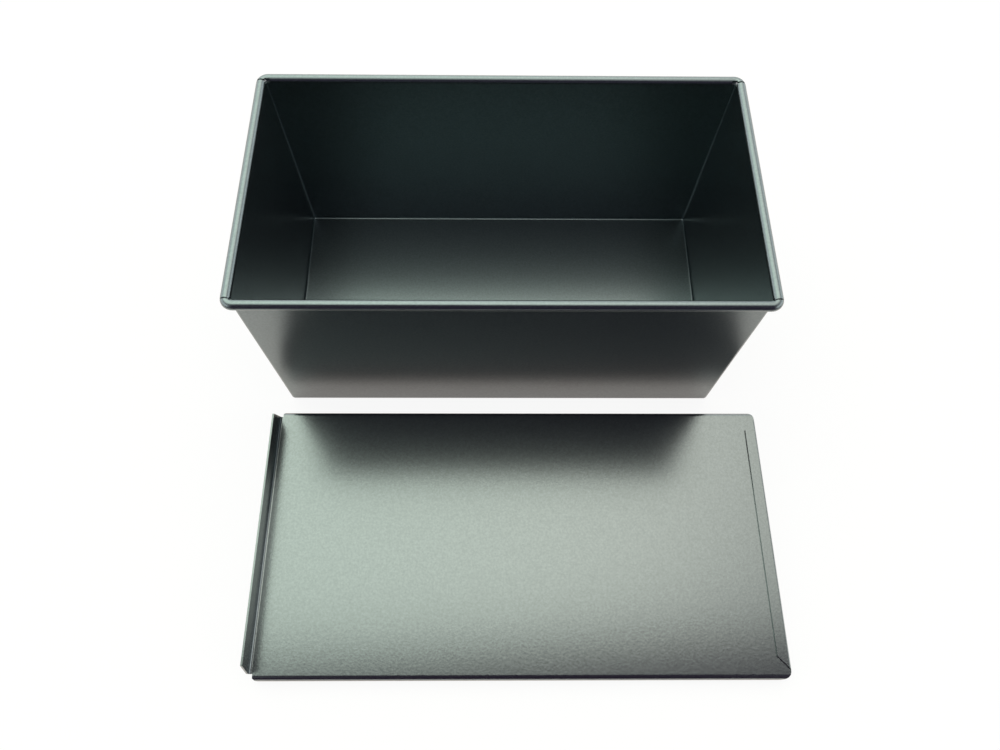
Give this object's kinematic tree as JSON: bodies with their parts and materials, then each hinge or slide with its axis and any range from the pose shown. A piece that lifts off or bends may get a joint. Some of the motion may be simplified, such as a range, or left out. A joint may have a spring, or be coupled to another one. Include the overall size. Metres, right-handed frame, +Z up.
{
  "type": "pullman loaf pan",
  "caption": "Deep straight-sided bread pan folded from one coated sheet, with a wire-rolled rim and a flat sliding lid with channelled edges, a pull flange and a folded hem.",
  "frame": {"origin": "centre of the pan's underside, on the table", "axes": "+X along the pan towards the end with the lid's hem, +Y from the lid to the pan, +Z up"},
  "size_m": [0.2325, 0.2441, 0.105],
  "materials": {
    "coated_steel": "satin metallic dark grey non-stick coating with a faint green tint",
    "wire_steel": "plain drawn wire, hidden in the rolled rim"
  },
  "bodies": {
    "pan": {"pan_body": "coated_steel", "rim_wire": "wire_steel"},
    "lid": {"lid": "coated_steel"}
  },
  "joints": [
    {"name": "lid_lift", "type": "slide", "parent": "pan", "child": "lid", "axis": [0, 0, 1], "range_m": [0, 0.15]}
  ]
}
